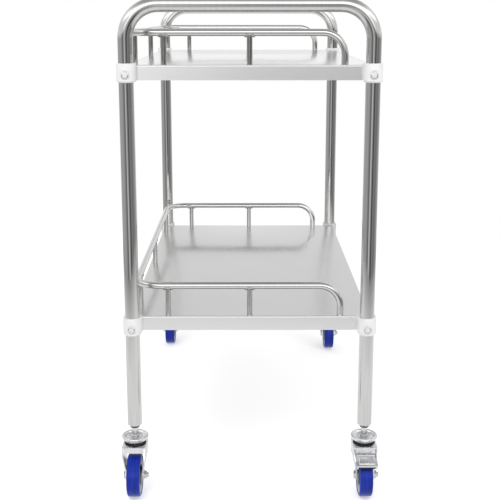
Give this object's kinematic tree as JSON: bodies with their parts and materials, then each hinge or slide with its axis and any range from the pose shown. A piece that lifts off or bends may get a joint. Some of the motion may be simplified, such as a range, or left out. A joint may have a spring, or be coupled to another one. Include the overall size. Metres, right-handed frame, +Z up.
{
  "type": "instrument cart",
  "caption": "Two-tier stainless steel instrument cart on swivel castors: U-shaped tube frames, lipped trays with three-sided guard rails and plastic corner clamps.",
  "frame": {"origin": "on the floor under the middle of the cart, halfway between the two U frames and between their legs", "axes": "+Z up, +X to the cart's right, where the guard rails are open, -Y towards the front frame"},
  "size_m": [0.4524, 0.875, 0.86],
  "materials": {
    "tube_steel": "polished",
    "tray_steel": "satin",
    "rail_steel": "polished",
    "bolt_steel": "plain",
    "zinc_steel": "bright zinc plated",
    "clamp_plastic": "moulded",
    "bush_plastic": "moulded",
    "hub_plastic": "moulded",
    "bearing_plastic": "plain",
    "tyre_blue": "smooth polyurethane"
  },
  "bodies": {
    "cart_frame": {"front_frame": "tube_steel", "rear_frame": "tube_steel", "upper_tray": "tray_steel", "upper_tray_stiffener": "tray_steel", "upper_guard_rail": "rail_steel", "upper_rail_posts": "rail_steel", "lower_tray": "tray_steel", "lower_tray_stiffener": "tray_steel", "lower_guard_rail": "rail_steel", "lower_rail_posts": "rail_steel", "rail_nuts": "bolt_steel", "front_left_upper_clamp": "clamp_plastic", "front_right_upper_clamp": "clamp_plastic", "rear_left_upper_clamp": "clamp_plastic", "rear_right_upper_clamp": "clamp_plastic", "front_left_lower_clamp": "clamp_plastic", "front_right_lower_clamp": "clamp_plastic", "rear_left_lower_clamp": "clamp_plastic", "rear_right_lower_clamp": "clamp_plastic", "clamp_bolts": "bolt_steel", "front_left_leg_bush": "bush_plastic", "front_left_stem": "zinc_steel", "front_left_swivel_cap": "zinc_steel", "front_left_swivel_balls": "bolt_steel", "front_right_leg_bush": "bush_plastic", "front_right_stem": "zinc_steel", "front_right_swivel_cap": "zinc_steel", "front_right_swivel_balls": "bolt_steel", "rear_left_leg_bush": "bush_plastic", "rear_left_stem": "zinc_steel", "rear_left_swivel_cap": "zinc_steel", "rear_left_swivel_balls": "bolt_steel", "rear_right_leg_bush": "bush_plastic", "rear_right_stem": "zinc_steel", "rear_right_swivel_cap": "zinc_steel", "rear_right_swivel_balls": "bolt_steel"},
    "front_left_fork": {"front_left_fork": "zinc_steel", "front_left_axle": "bolt_steel"},
    "front_left_wheel": {"front_left_wheel_hub": "hub_plastic", "front_left_tyre": "tyre_blue", "front_left_wheel_bearing": "bearing_plastic"},
    "front_right_fork": {"front_right_fork": "zinc_steel", "front_right_axle": "bolt_steel", "front_right_brake_pin": "bolt_steel"},
    "front_right_wheel": {"front_right_wheel_hub": "hub_plastic", "front_right_tyre": "tyre_blue", "front_right_wheel_bearing": "bearing_plastic"},
    "front_right_pedal": {"front_right_brake_pedal": "zinc_steel"},
    "rear_left_fork": {"rear_left_fork": "zinc_steel", "rear_left_axle": "bolt_steel", "rear_left_brake_pin": "bolt_steel"},
    "rear_left_wheel": {"rear_left_wheel_hub": "hub_plastic", "rear_left_tyre": "tyre_blue", "rear_left_wheel_bearing": "bearing_plastic"},
    "rear_left_pedal": {"rear_left_brake_pedal": "zinc_steel"},
    "rear_right_fork": {"rear_right_fork": "zinc_steel", "rear_right_axle": "bolt_steel"},
    "rear_right_wheel": {"rear_right_wheel_hub": "hub_plastic", "rear_right_tyre": "tyre_blue", "rear_right_wheel_bearing": "bearing_plastic"}
  },
  "joints": [
    {"name": "front_left_swivel", "type": "hinge", "parent": "cart_frame", "child": "front_left_fork", "pos_m": [-0.202, -0.38, 0.0942], "axis": [0, 0, 1], "continuous": true},
    {"name": "front_left_roll", "type": "hinge", "parent": "front_left_fork", "child": "front_left_wheel", "pos_m": [-0.202, -0.398, 0.0375], "axis": [1, 0, 0], "continuous": true},
    {"name": "front_right_swivel", "type": "hinge", "parent": "cart_frame", "child": "front_right_fork", "pos_m": [0.202, -0.38, 0.0942], "axis": [0, 0, 1], "continuous": true},
    {"name": "front_right_roll", "type": "hinge", "parent": "front_right_fork", "child": "front_right_wheel", "pos_m": [0.202, -0.398, 0.0375], "axis": [1, 0, 0], "continuous": true},
    {"name": "front_right_brake", "type": "hinge", "parent": "front_right_fork", "child": "front_right_pedal", "pos_m": [0.202, -0.383, 0.0753], "axis": [1, 0, 0], "range_deg": [0, 8]},
    {"name": "rear_left_swivel", "type": "hinge", "parent": "cart_frame", "child": "rear_left_fork", "pos_m": [-0.202, 0.38, 0.0942], "axis": [0, 0, 1], "continuous": true},
    {"name": "rear_left_roll", "type": "hinge", "parent": "rear_left_fork", "child": "rear_left_wheel", "pos_m": [-0.202, 0.398, 0.0375], "axis": [1, 0, 0], "continuous": true},
    {"name": "rear_left_brake", "type": "hinge", "parent": "rear_left_fork", "child": "rear_left_pedal", "pos_m": [-0.202, 0.383, 0.0753], "axis": [-1, 0, 0], "range_deg": [0, 8]},
    {"name": "rear_right_swivel", "type": "hinge", "parent": "cart_frame", "child": "rear_right_fork", "pos_m": [0.202, 0.38, 0.0942], "axis": [0, 0, 1], "continuous": true},
    {"name": "rear_right_roll", "type": "hinge", "parent": "rear_right_fork", "child": "rear_right_wheel", "pos_m": [0.202, 0.362, 0.0375], "axis": [1, 0, 0], "continuous": true}
  ]
}
